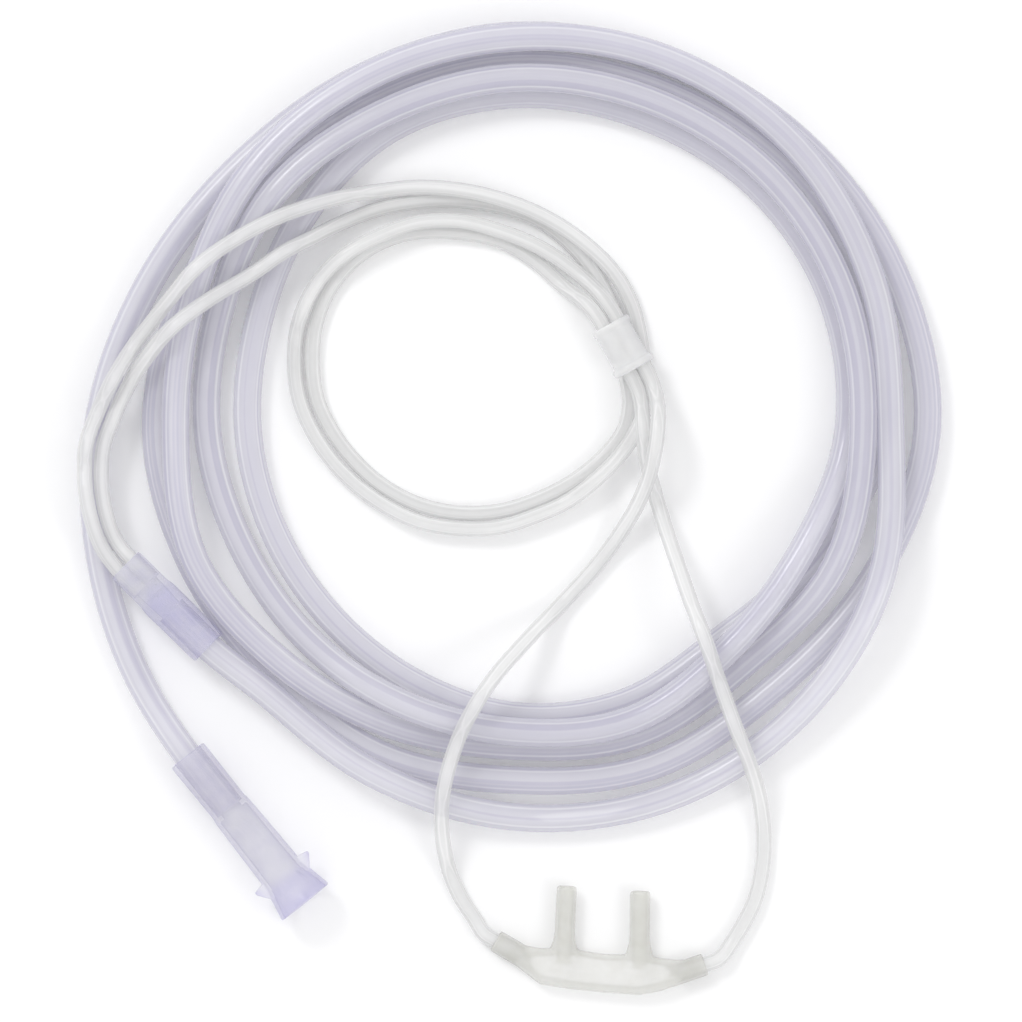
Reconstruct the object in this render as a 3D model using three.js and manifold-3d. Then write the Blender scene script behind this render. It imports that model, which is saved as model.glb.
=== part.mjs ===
// A nasal oxygen cannula, coiled and lying on a flat surface.
// Millimetres, +Z up, +X to the right and +Y away as the coil is looked down on.
// The origin is on the surface, under the middle of the nasal piece.

import * as THREE from "three";
import { mergeVertices } from "three/addons/utils/BufferGeometryUtils.js";
import Module from "manifold-3d";

const wasm = await Module();
wasm.setup();

// Tubing
const supplyDiameter = 5.7; // the long tube to the oxygen source
const lariatDiameter = 3.1; // the two thin tubes that go over the ears
const supplySides = 10;
const lariatSides = 8;
const floorGap = 0.05; // a tube's underside above the surface
const fitGap = 0.3; // between a tube and the socket that holds it
const layGap = 0.35; // between a thin tube and the tube it lies on
const coilGap = 0.1; // between the coil's own turns
const steepest = 0.5; // rise over run of a tube that climbs over another

// Twin-tube socket, used by the Y connector and the slider
const twinPitch = lariatDiameter + 0.2; // centre to centre of the two lariat tubes
const twinBoreHeight = lariatDiameter + 2 * 0.2;
const twinBoreWidth = twinPitch + twinBoreHeight;

// Y connector: a flat twin socket that grows into a round one
const yTop = { x: -94.8, y: 75.3, z: 7.5 }; // middle of its twin end
const yHeading = -44.5; // degrees from +X towards the round end
const yLength = 23.4;
const yTwinLength = 8.3;
const yTwinWall = 0.45;
const yRoundDiameter = 8.2;
const yTwinDepth = 6;
const ySupplyDepth = 10.6;
const yPassage = 2;

// End connector: the soft socket that is pushed onto the oxygen outlet
const endRear = { x: -82.5, y: 37.3, z: 6.05 }; // middle of its rear face
const endHeading = -51.2; // degrees from +X towards its mouth
const endLength = 37.7;
const endRearDiameter = 8.25;
const endSupplyDepth = 13.6;
const endStopThickness = 1;
const endStopBore = 4.4;
const endSocketDiameter = 6.8; // just past the stop
const endThroatDiameter = 7.2; // where the mouth begins
const endWaistDiameter = 9.3; // outside, at the throat
const endMouthLength = 6.6;
const endMouthDiameter = 11.9;
const endMouthBore = 10;
const lugReach = 6.75; // from the axis to a lug's tip
const lugLength = 2.6;
const lugThickness = 4;

// Slider that draws the two lariat tubes together
const sliderMiddle = { x: 4.5, y: 119, z: 6.4 };
const sliderHeading = -60.7; // degrees from +X, towards the nasal piece
const sliderLength = 10.4;
const sliderWall = 0.45;
const sliderFlangeLength = 1.5;
const sliderFlangeReach = 0.7; // beyond the sleeve, all round
const sliderTravel = 4; // straight tube left free at each end of the slider

// Nasal piece: a flat-backed hollow body with a sleeve at each end and two prongs
const noseAxisHeight = 2.5;
const noseLeft = { x: -20.9, y: 0, heading: -30.5 }; // sleeve mouth, and its direction inwards
const noseRight = { x: 21.1, y: -4.7, heading: 199 };
const sleeveWall = 0.5;
const sleeveDepth = 6;
const noseLumen = 2.4;
const chamberWall = 1;
const prongDiameter = 4.1;
const prongBore = 2.9;
const prongFlare = 3.2; // radius of the foot where a prong meets the body
const prongs = [
  { foot: [-7.3, -4.5], tip: [-6.6, 11] },
  { foot: [7.9, -5.5], tip: [8.1, 10] },
];

// Stations along the nasal body: x, y, half its width in plan, height above its axis
const bodyStations = [
  [-16, -3.3, 2.5, 2.3],
  [-12, -5.1, 3.7, 2.9],
  [-6, -5.6, 4.1, 3.2],
  [0.6, -6.5, 3.9, 3.2],
  [8, -6.8, 4.1, 3.2],
  [12, -6.8, 3.4, 2.9],
  [16, -6.3, 2.6, 2.3],
];

// The supply tube's coil: its centre, and each turn's radius at 16 bearings, anticlockwise
// from the bearing where the tube leaves the Y connector
const coilCentre = { x: -17.6, y: 102.3 };
const firstBearing = 225;
const bearingStep = 22.5;
const turns = [
  {
    layers: [5, 5],
    radii: [
      72, 73.9, 77.4, 79.9, 80.6, 79.4, 75.5, 77.8, 80, 80.1, 78.2, 76, 73.2, 69, 67.2, 68.4,
    ],
  },
  {
    layers: [3, 5],
    radii: [
      65.4, 63.8, 63.3, 66, 66, 70, 70, 71.6, 72.2, 71.4, 70.2, 68.2, 67, 63.2, 61, 58.9,
    ],
  },
  {
    layers: [4, 4],
    radii: [
      58.5, 58.8, 60.2, 62.6, 61.4, 62.8, 67.4, 69.3, 69.4, 68.2, 67.2, 65, 59.8, 55.1, 52.9, 51.8,
    ],
  },
  {
    layers: [1, 1],
    radii: [
      52.1, 54.1, 57.2, 59.1, 59.4, 66, 74.2, 75.6, 75.5, 74.2, 73.1, 70.9, 70, 70.6, 71.4, 69.6,
    ],
  },
  {
    layers: [2, 2],
    radii: [
      68.4, 70.1, 70.1, 72.9, 73.6, 78.2, 83.2, 82.9, 81.6, 80.2, 79, 76.8, 75.9, 78.4, 83.1, 87.5,
    ],
  },
];
const crossStation = 5; // from this station on a turn lies in its second layer
const tailPoint = { bearing: 213.75, radius: 89.8 };

// The lariat tubes' routes in plan. Each goes from the Y connector over the coil, under the
// slider and once round the small ring, then through the slider to the nasal piece.
const rightLariatRing = [
  [-96.4, 79.7], [-98.4, 84.7], [-99.4, 89.9], [-99.6, 94.7], [-99.1, 99.3], [-97.5, 103.9],
  [-93.8, 111.7], [-90, 117.1], [-85, 122.7], [-77.4, 128.5], [-69, 133.7], [-63.2, 137.7],
  [-57.6, 140.7], [-52, 143.7], [-44, 146.7], [-36, 148.1], [-28, 148.3], [-20, 147.1],
  [-12.2, 144.4], [-4.8, 138.5], [-0.2, 132.3], [2.7, 126.3], [4.1, 121.7], [5.3, 113.1],
  [6, 107.9], [5, 102.7], [1.4, 97.7], [-3.8, 93.1], [-11.8, 88.7], [-20, 86.1], [-28, 85.7],
  [-36, 87.3], [-43.4, 91.1], [-50, 97.1], [-53.8, 102.3], [-56.6, 108.3], [-57.6, 115.3],
  [-57.2, 122.3], [-56, 126.7], [-53.2, 132.1], [-49.2, 136.5], [-43.6, 140.1], [-36, 142.1],
  [-28, 141.9], [-20, 140.3], [-13, 136.3], [-7.8, 131.6],
];
const rightLariatLeg = [
  [8.6, 102.3], [9, 97.9], [10, 93.3], [11.4, 88.3], [13.2, 82.3], [15.2, 76.3], [18, 67.9],
  [20.6, 60.9], [23.6, 52.3], [27.2, 42.3], [30.2, 34.7], [32.2, 27.3], [32.9, 19.3],
  [32.2, 12.3], [31, 7.9], [29.2, 4.1], [26.8, 0.1],
];
const leftLariatRing = [
  [-99.2, 78.3], [-101.4, 84.1], [-102.6, 89.9], [-102.9, 94.7], [-102.5, 99.3], [-100.2, 106.1],
  [-97.2, 112.1], [-93.6, 118.3], [-89.2, 124.1], [-85, 129.1], [-80.4, 134.3], [-73.4, 139.7],
  [-65.8, 143.9], [-59.4, 146.5], [-52, 148.7], [-44, 150.2], [-36, 150.9], [-28, 150.3],
  [-20, 148.5], [-11.8, 145.3], [-3.4, 139.9], [3.8, 132.5], [6.8, 126.3], [7.9, 121.7],
  [9, 113.1], [9.2, 107.9], [7.4, 102.3], [4.2, 97.5], [-0.4, 92.7], [-7.8, 87.3], [-12, 85.5],
  [-20, 82.9], [-28, 82.6], [-36, 83.9], [-44.8, 88.3], [-51.6, 93.9], [-56.8, 100.7],
  [-60.2, 108.3], [-61.2, 115.3], [-60.7, 122.3], [-59.3, 126.7], [-56.2, 132.3], [-51.4, 137.1],
  [-44.2, 141.1], [-36, 143.9], [-28, 144.1], [-20, 142.1], [-11.4, 138.5], [-4.8, 134],
];
const leftLariatLeg = [
  [11.4, 102.3], [10.8, 97.9], [9.8, 93.3], [7.9, 88.3], [4.5, 82.3], [0.2, 76.3], [-6.9, 68.3],
  [-14.7, 60.3], [-21.7, 52.3], [-25, 47.3], [-28.6, 39.9], [-30.8, 32.7], [-31.7, 25.3],
  [-31.3, 19.3], [-29.6, 12.3], [-27.7, 8.3], [-25.2, 4.5],
];
const secondPassStart = 36; // the ring point from which a lariat lies over its own first pass

// Joining and cutting closed solids
function solidOf(geometry) {
  const bare = geometry.clone();
  bare.deleteAttribute("normal");
  bare.deleteAttribute("uv");
  const merged = mergeVertices(bare, 1e-4);
  return new wasm.Manifold(
    new wasm.Mesh({
      numProp: 3,
      vertProperties: merged.attributes.position.array,
      triVerts: new Uint32Array(merged.index.array),
    }),
  );
}

function geometryOf(solid) {
  const mesh = solid.getMesh();
  const geometry = new THREE.BufferGeometry();
  geometry.setAttribute("position", new THREE.BufferAttribute(mesh.vertProperties, 3));
  geometry.setIndex(new THREE.BufferAttribute(mesh.triVerts, 1));
  geometry.computeVertexNormals();
  return geometry;
}

const radians = THREE.MathUtils.degToRad;

function ahead(heading) {
  return new THREE.Vector2(Math.cos(radians(heading)), Math.sin(radians(heading)));
}

// A point beside or along a placed piece's axis, in plan, with the axis's height
function along(origin, heading, distance, aside = 0) {
  const forward = ahead(heading);
  return {
    x: origin.x + forward.x * distance - forward.y * aside,
    y: origin.y + forward.y * distance + forward.x * aside,
    least: origin.z,
  };
}

// Turns a geometry made along +Y so that it runs from origin in its heading
function placed(geometry, origin, heading) {
  return geometry.clone().rotateZ(radians(heading - 90)).translate(origin.x, origin.y, origin.z);
}

function stadium(width, height) {
  const shape = new THREE.Shape();
  const reach = (width - height) / 2;
  shape.absarc(reach, 0, height / 2, -Math.PI / 2, Math.PI / 2);
  shape.absarc(-reach, 0, height / 2, Math.PI / 2, (3 * Math.PI) / 2);
  return shape;
}

// An upright section swept along +Y from one distance to another
function bar(shape, from, to) {
  const geometry = new THREE.ExtrudeGeometry(shape, {
    depth: to - from,
    bevelEnabled: false,
    curveSegments: 10,
  });
  return geometry.rotateX(-Math.PI / 2).translate(0, from, 0);
}

function rod(diameter, from, to, aside = 0) {
  const length = to - from;
  const geometry = new THREE.CylinderGeometry(diameter / 2, diameter / 2, length, 24);
  return geometry.translate(aside, from + length / 2, 0);
}

// A solid through a row of oval sections: each gives its middle, half width and half height
function loft(sections, sides) {
  const rows = sections.length - 1;
  const geometry = new THREE.CylinderGeometry(1, 1, 1, sides, rows);
  const position = geometry.attributes.position;
  for (let i = 0; i < position.count; i++) {
    const section = sections[Math.round((0.5 - position.getY(i)) * rows)];
    const across = position.getX(i) * section.halfWidth;
    const up = position.getZ(i) * section.halfHeight;
    position.setXYZ(
      i,
      section.x + section.side.x * across,
      section.y + section.side.y * across,
      Math.max(section.z + up, section.lowest),
    );
  }
  return geometry;
}

// Route of the supply tube in plan: out of the Y connector, round the coil, into the end connector
function supplyRoute() {
  const points = [
    { ...along(yTop, yHeading, yLength - ySupplyDepth + fitGap), layer: 5 },
    { ...along(yTop, yHeading, yLength), layer: 5 },
  ];
  turns.forEach((turn, index) => {
    turn.radii.forEach((radius, station) => {
      const bearing = radians(firstBearing + (index * turn.radii.length + station) * bearingStep);
      points.push({
        x: coilCentre.x + radius * Math.cos(bearing),
        y: coilCentre.y + radius * Math.sin(bearing),
        least: 0,
        layer: turn.layers[station < crossStation ? 0 : 1],
      });
    });
  });
  points.push({
    x: coilCentre.x + tailPoint.radius * Math.cos(radians(tailPoint.bearing)),
    y: coilCentre.y + tailPoint.radius * Math.sin(radians(tailPoint.bearing)),
    least: 0,
    layer: 2,
  });
  points.push({ ...along(endRear, endHeading, 0), layer: 2 });
  points.push({ ...along(endRear, endHeading, endSupplyDepth - fitGap), layer: 2 });
  return points;
}

// Route of one lariat tube in plan. A side is +1 or -1 beside the middle line of the pair.
function lariatRoute(ring, leg, sides, layers, mouth) {
  const [besideY, beside] = sides.map((side) => (side * twinPitch) / 2);
  const free = sliderLength / 2 + sliderTravel;
  const mouthAt = { ...mouth, z: noseAxisHeight };
  const points = [
    along(yTop, yHeading, yTwinDepth - fitGap, besideY),
    along(yTop, yHeading, 0, besideY),
    ...ring.map(([x, y]) => ({ x, y, least: 0 })),
    along(sliderMiddle, sliderHeading, -free, beside),
    along(sliderMiddle, sliderHeading, free, beside),
    ...leg.map(([x, y]) => ({ x, y, least: 0 })),
    along(mouthAt, mouth.heading, -2.5),
    along(mouthAt, mouth.heading, 0),
    along(mouthAt, mouth.heading, sleeveDepth - fitGap),
  ];
  return points.map((point, index) => ({
    ...point,
    layer: index < secondPassStart + 2 ? layers[0] : layers[1],
  }));
}

// Divides a route into the steps that its tube is made with
function stepped(points, spacing) {
  const curve = new THREE.CatmullRomCurve3(
    points.map((p) => new THREE.Vector3(p.x, p.y, 0)),
    false,
    "centripetal",
  );
  const rows = [];
  for (let i = 0; i < points.length - 1; i++) {
    const [from, to] = [points[i], points[i + 1]];
    const held = from.least > 0 && to.least > 0;
    const pieces = Math.max(1, Math.round(Math.hypot(to.x - from.x, to.y - from.y) / spacing));
    rows.push({ ...from });
    for (let k = 1; k < pieces; k++) {
      const at = held
        ? new THREE.Vector2(from.x, from.y).lerp(to, k / pieces)
        : curve.getPoint((i + k / pieces) / (points.length - 1));
      rows.push({ x: at.x, y: at.y, least: held ? from.least : 0, layer: from.layer });
    }
  }
  rows.push({ ...points[points.length - 1] });
  return rows;
}

// Every place where one of the upper tubes crosses or lies beside a tube beneath it
function contactsOf(uppers, lowers) {
  const checks = 6; // places looked at along each step
  const nearSteps = 4; // steps of one tube too close together to lie on each other
  const samplesOf = (tubes) =>
    tubes.flatMap((tube) =>
      tube.rows.slice(1).flatMap((b, row) => {
        const a = tube.rows[row];
        return Array.from({ length: checks }, (_, k) => {
          const share = (k + 0.5) / checks;
          const [x, y] = [a.x + (b.x - a.x) * share, a.y + (b.y - a.y) * share];
          return { x, y, a, b, share, row, tube };
        });
      }),
    );
  const contacts = [];
  for (const upper of samplesOf(uppers)) {
    if (upper.a.least > 0 || upper.b.least > 0) continue;
    for (const lower of samplesOf(lowers)) {
      if (upper.a.layer <= lower.a.layer) continue;
      const same = upper.tube === lower.tube;
      if (same && Math.abs(upper.row - lower.row) < nearSteps) continue;
      const clear = upper.tube.radius + lower.tube.radius + (same ? coilGap : layGap);
      const apart = Math.hypot(upper.x - lower.x, upper.y - lower.y);
      if (apart < clear) contacts.push({ upper, lower, lift: Math.sqrt(clear ** 2 - apart ** 2) });
    }
  }
  return contacts;
}

// Shifts the two rows of a step so that a place between them moves by the amount
function shift({ a, b, share, tube }, amount) {
  const whole = (1 - share) ** 2 + share ** 2;
  const rest = tube.radius + floorGap;
  if (!(a.least > 0)) a.z = Math.max(rest, a.z + (amount * (1 - share)) / whole);
  if (!(b.least > 0)) b.z = Math.max(rest, b.z + (amount * share) / whole);
}

// Heights at which the upper tubes lie on what is beneath them. Where a coil lies on itself,
// the lower strand gives way as the upper one rises, and both stay on or above the surface.
function settle(uppers, lowers, sweeps) {
  const height = (sample) => sample.a.z * (1 - sample.share) + sample.b.z * sample.share;
  for (const tube of uppers) {
    for (const row of tube.rows) row.z = row.least > 0 ? row.least : tube.radius + floorGap;
  }
  const contacts = contactsOf(uppers, lowers);
  for (let sweep = 0; sweep < sweeps; sweep++) {
    for (const { upper, lower, lift } of contacts) {
      const short = height(lower) + lift - height(upper);
      if (short <= 0.005) continue;
      const shared = upper.tube === lower.tube && !upper.tube.climbs;
      shift(upper, shared ? short / 2 : short);
      if (shared) shift(lower, -short / 2);
    }
    for (const { rows, climbs } of uppers) {
      for (let i = 0; climbs && i < rows.length - 1; i++) {
        const [a, b] = [rows[i], rows[i + 1]];
        const drop = climbs * Math.hypot(b.x - a.x, b.y - a.y);
        if (!(a.least > 0)) a.z = Math.max(a.z, b.z - drop);
        if (!(b.least > 0)) b.z = Math.max(b.z, a.z - drop);
      }
    }
  }
  for (const tube of uppers) lower(tube, contacts);
}

// Lets a tube down, a little at a time, until it lies on something everywhere that it can
function lower(tube, contacts) {
  const letDown = 0.15;
  const needs = tube.rows.map(() => []);
  for (const contact of contacts) {
    if (contact.upper.tube !== tube) continue;
    needs[contact.upper.row].push({ ...contact, own: 1 - contact.upper.share, other: 1 });
    needs[contact.upper.row + 1].push({ ...contact, own: contact.upper.share, other: -1 });
  }
  for (let sweep = 0; sweep < 200; sweep++) {
    tube.rows.forEach((row, index) => {
      if (row.least > 0) return;
      let rest = Math.max(tube.radius + floorGap, row.z - letDown);
      for (const { lower, lift, own, other } of needs[index]) {
        const beneath = lower.a.z * (1 - lower.share) + lower.b.z * lower.share + lift;
        const neighbour = tube.rows[index + other].z;
        rest = Math.max(rest, (beneath - neighbour * (1 - own)) / own);
      }
      for (const neighbour of [tube.rows[index - 1], tube.rows[index + 1]]) {
        if (!tube.climbs || !neighbour) continue;
        const run = Math.hypot(neighbour.x - row.x, neighbour.y - row.y);
        rest = Math.max(rest, neighbour.z - tube.climbs * run);
      }
      row.z = Math.min(row.z, rest);
    });
  }
}

// A path that runs straight from row to row, so that the tube's steps fall on the rows
class RowPath extends THREE.Curve {
  constructor(rows) {
    super();
    this.rows = rows;
  }
  getPoint(t, target = new THREE.Vector3()) {
    const place = Math.min(Math.max(t, 0), 1) * (this.rows.length - 1);
    const index = Math.min(Math.floor(place), this.rows.length - 2);
    const share = place - index;
    const [a, b] = [this.rows[index], this.rows[index + 1]];
    return target.set(
      a.x + (b.x - a.x) * share,
      a.y + (b.y - a.y) * share,
      a.z + (b.z - a.z) * share,
    );
  }
  getPointAt(u, target) {
    return this.getPoint(u, target);
  }
  getTangentAt(u, target) {
    return this.getTangent(u, target);
  }
}

function tubeGeometry(rows, diameter, sides) {
  const rim = [];
  for (let i = 0; i < sides; i++) {
    const angle = (2 * Math.PI * (i + 0.5)) / sides;
    rim.push(new THREE.Vector2(Math.cos(angle), Math.sin(angle)).multiplyScalar(diameter / 2));
  }
  return new THREE.ExtrudeGeometry(new THREE.Shape(rim), {
    steps: rows.length - 1,
    bevelEnabled: false,
    extrudePath: new RowPath(rows),
  });
}

function yConnector() {
  const side = new THREE.Vector2(1, 0);
  const twinHalf = [twinBoreWidth / 2 + yTwinWall, twinBoreHeight / 2 + yTwinWall];
  const round = yRoundDiameter / 2;
  const section = (y, halfWidth, halfHeight) => ({
    x: 0, y, z: 0, side, halfWidth, halfHeight, lowest: -round,
  });
  const outside = loft(
    [
      section(yLength, round - 0.3, round - 0.3),
      section(yLength - 0.4, round, round),
      section(yTwinLength + 1.6, round, round),
      section(yTwinLength + 0.6, (round + twinHalf[0]) / 2, round - 0.5),
      section(yTwinLength, twinHalf[0], twinHalf[1]),
      section(0.4, twinHalf[0], twinHalf[1]),
      section(0, twinHalf[0] - 0.2, twinHalf[1] - 0.2),
    ],
    32,
  );
  let solid = solidOf(outside)
    .subtract(solidOf(bar(stadium(twinBoreWidth, twinBoreHeight), -1, yTwinDepth)))
    .subtract(solidOf(rod(supplyDiameter + 2 * fitGap, yLength - ySupplyDepth, yLength + 1)));
  for (const aside of [-twinPitch / 2, twinPitch / 2]) {
    solid = solid.subtract(
      solidOf(rod(yPassage, yTwinDepth - 1, yLength - ySupplyDepth + 1, aside)),
    );
  }
  return placed(geometryOf(solid), yTop, yHeading);
}

function endConnector() {
  const throat = endLength - endMouthLength;
  const stop = endSupplyDepth + endStopThickness;
  const supplyBore = supplyDiameter / 2 + fitGap;
  const profile = [
    [supplyBore, 0],
    [endRearDiameter / 2 - 0.2, 0],
    [endRearDiameter / 2, 0.4],
    [endRearDiameter / 2 - 0.15, endSupplyDepth],
    [endRearDiameter / 2, stop],
    [endWaistDiameter / 2, throat - 2],
    [endMouthDiameter / 2 - 0.3, throat + 0.4],
    [endMouthDiameter / 2, endLength - 0.3],
    [endMouthDiameter / 2 - 0.2, endLength],
    [endMouthBore / 2, endLength],
    [endMouthBore / 2 - 0.4, throat + 1.2],
    [endThroatDiameter / 2, throat - 0.6],
    [endSocketDiameter / 2, stop],
    [endStopBore / 2, stop],
    [endStopBore / 2, endSupplyDepth],
    [supplyBore, endSupplyDepth],
    [supplyBore, 0],
  ].map(([radius, y]) => new THREE.Vector2(radius, y));
  let solid = solidOf(new THREE.LatheGeometry(profile, 32));
  const root = endWaistDiameter / 2 - 0.3;
  for (const hand of [-1, 1]) {
    const lug = new THREE.Shape([
      new THREE.Vector2(hand * root, throat - 2.2),
      new THREE.Vector2(hand * lugReach, throat - 0.2),
      new THREE.Vector2(hand * (lugReach - 0.2), throat - 2.2 + lugLength),
      new THREE.Vector2(hand * root, throat + 1),
    ]);
    const plate = new THREE.ExtrudeGeometry(lug, { depth: lugThickness, bevelEnabled: false });
    solid = solid.add(solidOf(plate.translate(0, 0, -lugThickness / 2)));
  }
  return placed(geometryOf(solid), endRear, endHeading);
}

function slider() {
  const width = twinBoreWidth + 2 * sliderWall;
  const height = twinBoreHeight + 2 * sliderWall;
  const half = sliderLength / 2;
  const flange = stadium(width + 2 * sliderFlangeReach, height + 2 * sliderFlangeReach);
  const solid = solidOf(bar(stadium(width, height), -half, half))
    .add(solidOf(bar(flange, half - sliderFlangeLength, half)))
    .subtract(solidOf(bar(stadium(twinBoreWidth, twinBoreHeight), -half - 1, half + 1)));
  return placed(geometryOf(solid), sliderMiddle, sliderHeading);
}

function nasalPiece() {
  const sleeveRadius = lariatDiameter / 2 + fitGap + sleeveWall;
  const boreRadius = lariatDiameter / 2 + fitGap;
  const left = along({ ...noseLeft, z: noseAxisHeight }, noseLeft.heading, sleeveDepth);
  const right = along({ ...noseRight, z: noseAxisHeight }, noseRight.heading, sleeveDepth);
  const line = [
    [noseLeft.x, noseLeft.y, sleeveRadius, sleeveRadius],
    [left.x, left.y, sleeveRadius, sleeveRadius],
    ...bodyStations,
    [right.x, right.y, sleeveRadius, sleeveRadius],
    [noseRight.x, noseRight.y, sleeveRadius, sleeveRadius],
  ];
  const sections = (wall) =>
    line.map(([x, y, halfWidth, halfHeight], index) => {
      const before = line[Math.max(index - 1, 0)];
      const after = line[Math.min(index + 1, line.length - 1)];
      const run = new THREE.Vector2(after[0] - before[0], after[1] - before[1]).normalize();
      return {
        x,
        y,
        z: noseAxisHeight,
        side: new THREE.Vector2(-run.y, run.x),
        halfWidth: halfWidth - wall,
        halfHeight: halfHeight - wall,
        lowest: wall,
      };
    });
  let solid = solidOf(loft(sections(0), 24));
  for (const { foot, tip } of prongs) {
    solid = solid.add(solidOf(prong(foot, tip)));
  }
  const chamber = sections(chamberWall).slice(2, -2);
  solid = solid.subtract(solidOf(loft(chamber, 16)));
  for (const mouth of [noseLeft, noseRight]) {
    const bore = rod(2 * boreRadius, -1, sleeveDepth);
    const lumen = rod(noseLumen, sleeveDepth - 1, sleeveDepth + 4);
    for (const cut of [bore, lumen]) {
      solid = solid.subtract(
        solidOf(placed(cut, { ...mouth, z: noseAxisHeight }, mouth.heading)),
      );
    }
  }
  for (const { foot, tip } of prongs) {
    const run = new THREE.Vector2(tip[0] - foot[0], tip[1] - foot[1]);
    const heading = THREE.MathUtils.radToDeg(run.angle());
    const bore = placed(rod(prongBore, 0, run.length() + 1), prongFoot(foot), heading);
    solid = solid.subtract(solidOf(bore));
  }
  return geometryOf(solid);
}

function prongFoot(foot) {
  return { x: foot[0], y: foot[1], z: noseAxisHeight + 0.4 };
}

function prong(foot, tip) {
  const run = new THREE.Vector2(tip[0] - foot[0], tip[1] - foot[1]);
  const length = run.length();
  const profile = [
    [0, 0],
    [prongFlare - 0.8, 0],
    [prongFlare - 0.5, 2.6],
    [prongFlare - 0.7, 3.8],
    [prongDiameter / 2 + 0.1, 5.4],
    [prongDiameter / 2, 7.5],
    [prongDiameter / 2, length - 0.4],
    [prongDiameter / 2 - 0.3, length],
    [0, length],
  ].map(([radius, y]) => new THREE.Vector2(radius, y));
  const heading = THREE.MathUtils.radToDeg(run.angle());
  return placed(new THREE.LatheGeometry(profile, 20), prongFoot(foot), heading);
}

const supply = { rows: supplyRoute(), radius: supplyDiameter / 2 };
const rightLariat = {
  rows: stepped(lariatRoute(rightLariatRing, rightLariatLeg, [1, -1], [6, 8], noseRight), 8),
  radius: lariatDiameter / 2,
  climbs: steepest,
};
const leftLariat = {
  rows: stepped(lariatRoute(leftLariatRing, leftLariatLeg, [-1, 1], [7, 9], noseLeft), 8),
  radius: lariatDiameter / 2,
  climbs: steepest,
};
settle([supply], [supply], 800);
settle([rightLariat, leftLariat], [supply, rightLariat, leftLariat], 60);

function finish(color, roughness) {
  return new THREE.MeshStandardMaterial({ color, roughness, metalness: 0 });
}

const cannula = new THREE.Group();

function add(name, geometry, material) {
  const mesh = new THREE.Mesh(geometry, material);
  mesh.name = name;
  cannula.add(mesh);
}

add("nasal_piece", nasalPiece(), finish(0xe6e6d8, 0.45));
add(
  "lariat_tube_left",
  tubeGeometry(leftLariat.rows, lariatDiameter, lariatSides),
  finish(0xe9e9ec, 0.4),
);
add(
  "lariat_tube_right",
  tubeGeometry(rightLariat.rows, lariatDiameter, lariatSides),
  finish(0xe9e9ec, 0.4),
);
add("slider", slider(), finish(0xe4e4ea, 0.45));
add("y_connector", yConnector(), finish(0xd3d0e6, 0.3));
add("supply_tube", tubeGeometry(supply.rows, supplyDiameter, supplySides), finish(0xcfcddc, 0.3));
add("end_connector", endConnector(), finish(0xcfcbe6, 0.3));

export default cannula;
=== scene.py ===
# A nasal oxygen cannula lying coiled on a pale surface.
# Its tubes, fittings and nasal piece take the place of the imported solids. Sizes are in mm.
import math

import bpy
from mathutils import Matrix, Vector
from mathutils.geometry import interpolate_bezier


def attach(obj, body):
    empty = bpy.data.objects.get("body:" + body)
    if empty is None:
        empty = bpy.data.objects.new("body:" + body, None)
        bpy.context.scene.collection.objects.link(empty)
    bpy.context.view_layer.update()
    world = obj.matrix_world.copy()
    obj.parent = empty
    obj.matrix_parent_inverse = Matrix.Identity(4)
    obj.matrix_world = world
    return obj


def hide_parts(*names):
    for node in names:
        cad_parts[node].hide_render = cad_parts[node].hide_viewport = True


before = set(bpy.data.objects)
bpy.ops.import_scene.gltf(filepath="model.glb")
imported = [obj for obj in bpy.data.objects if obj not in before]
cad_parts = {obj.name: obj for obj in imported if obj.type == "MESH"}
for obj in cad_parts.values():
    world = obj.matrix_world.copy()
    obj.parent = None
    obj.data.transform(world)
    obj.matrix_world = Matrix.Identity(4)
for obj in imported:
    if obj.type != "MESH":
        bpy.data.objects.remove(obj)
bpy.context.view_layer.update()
bpy.ops.object.select_all(action="DESELECT")
print("frame loaded")

mm = 0.001

# Camera: straight above the coil through a long lens
viewing = {
    "lookAt": (-17.8, 86.1),
    "above": 1400,
    "sharpHeight": 5,
    "frameWidth": 204.4,
    "sensor": 36.0,
}
bpy.ops.object.camera_add(
    location=(viewing["lookAt"][0] * mm, viewing["lookAt"][1] * mm, viewing["above"] * mm),
    rotation=(0, 0, 0),
)
camera = bpy.context.object
camera.name = "camera"
camera.data.sensor_width = viewing["sensor"]
camera.data.lens = (
    viewing["sensor"] * (viewing["above"] - viewing["sharpHeight"]) / viewing["frameWidth"]
)
camera.data.clip_end = 20
bpy.context.scene.camera = camera
bpy.context.scene.view_settings.view_transform = "Standard"
print("camera placed")


def chosen(obj):
    # only this object is selected and active
    bpy.ops.object.select_all(action="DESELECT")
    obj.select_set(True)
    bpy.context.view_layer.objects.active = obj


def settlePlace(obj):
    # the place, turn and size go into the mesh
    chosen(obj)
    bpy.ops.object.transform_apply(location=True, rotation=True, scale=True)


def smoothed(obj, angle=40):
    chosen(obj)
    bpy.ops.object.shade_smooth_by_angle(angle=math.radians(angle))


def applied(obj, kind, **values):
    chosen(obj)
    change = obj.modifiers.new(kind.lower(), kind)
    for key, value in values.items():
        setattr(change, key, value)
    bpy.ops.object.modifier_apply(modifier=change.name)


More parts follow.
